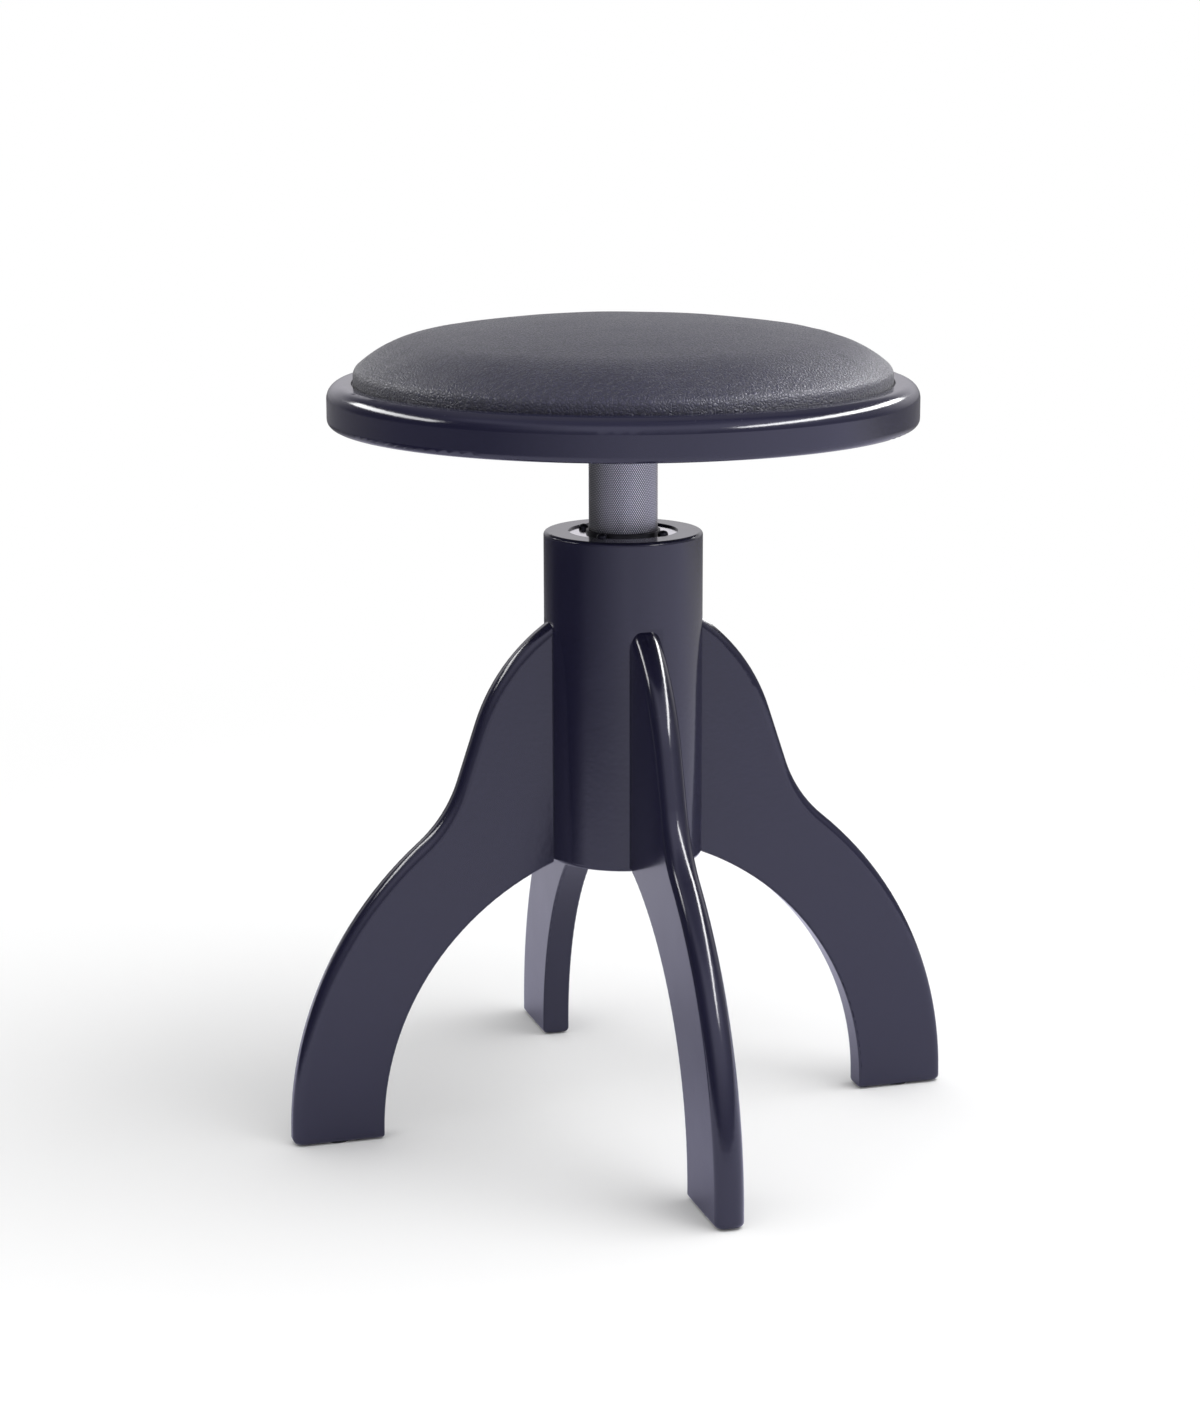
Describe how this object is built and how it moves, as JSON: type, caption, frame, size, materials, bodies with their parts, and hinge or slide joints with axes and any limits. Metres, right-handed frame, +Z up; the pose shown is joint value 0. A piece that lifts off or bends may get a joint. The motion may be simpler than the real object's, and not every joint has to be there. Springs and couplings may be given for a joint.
{
  "type": "piano stool",
  "caption": "Round padded piano stool whose seat screws up and down on a knurled post in a wooden column with sabre legs.",
  "frame": {"origin": "on the floor, under the axis of the column", "axes": "+Z up along the column and the post; the legs run out along +X, +Y, -X and -Y"},
  "size_m": [0.43, 0.43, 0.5058],
  "materials": {
    "black_lacquer": "satin black lacquer over turned and sawn hardwood",
    "plain_wood": "bare beech and plywood",
    "cushion_leather": "black pebble-grained leather, semi-matt",
    "foam": "upholstery foam",
    "knurled_steel": "fine diamond-knurled bright steel",
    "plated_steel": "bright plated steel",
    "zinc_steel": "zinc-plated steel",
    "black_steel": "black semi-matt powder coat",
    "black_screw": "blackened steel, glossy",
    "bronze": "turned bronze",
    "black_nylon": "moulded black nylon"
  },
  "bodies": {
    "base": {"column": "black_lacquer", "leg_right": "black_lacquer", "leg_back": "black_lacquer", "leg_left": "black_lacquer", "leg_front": "black_lacquer", "leg_dowels": "plain_wood", "foot_glides": "black_nylon", "guide_ring": "plated_steel", "ring_screws": "black_screw", "guide_bush": "black_nylon", "guide_liner": "zinc_steel", "base_plate": "zinc_steel", "base_screws": "zinc_steel", "spindle": "zinc_steel", "spindle_screw": "zinc_steel", "spindle_key": "zinc_steel"},
    "stop_slide": {"stop_ring": "black_nylon"},
    "seat": {"post": "knurled_steel", "post_clips": "zinc_steel", "spindle_nut": "bronze", "nut_pins": "zinc_steel", "seat_plate": "black_steel", "collar_screws": "black_screw", "plate_screws": "zinc_steel", "seat_disc": "black_lacquer", "cushion_screws": "zinc_steel", "cushion_board": "plain_wood", "cushion_foam": "foam", "cushion_cover": "cushion_leather"}
  },
  "joints": [
    {"name": "seat_height", "type": "slide", "parent": "base", "child": "stop_slide", "axis": [0, 0, 1], "range_m": [-0.05, 0.045]},
    {"name": "seat_turn", "type": "hinge", "parent": "stop_slide", "child": "seat", "pos_m": [0, 0, 0.44], "axis": [0, 0, 1], "range_deg": [-3600, 3240]}
  ],
  "couplings": [
    {"joint": "seat_height", "follows": "seat_turn", "m_per_rad": 0.00079577}
  ]
}
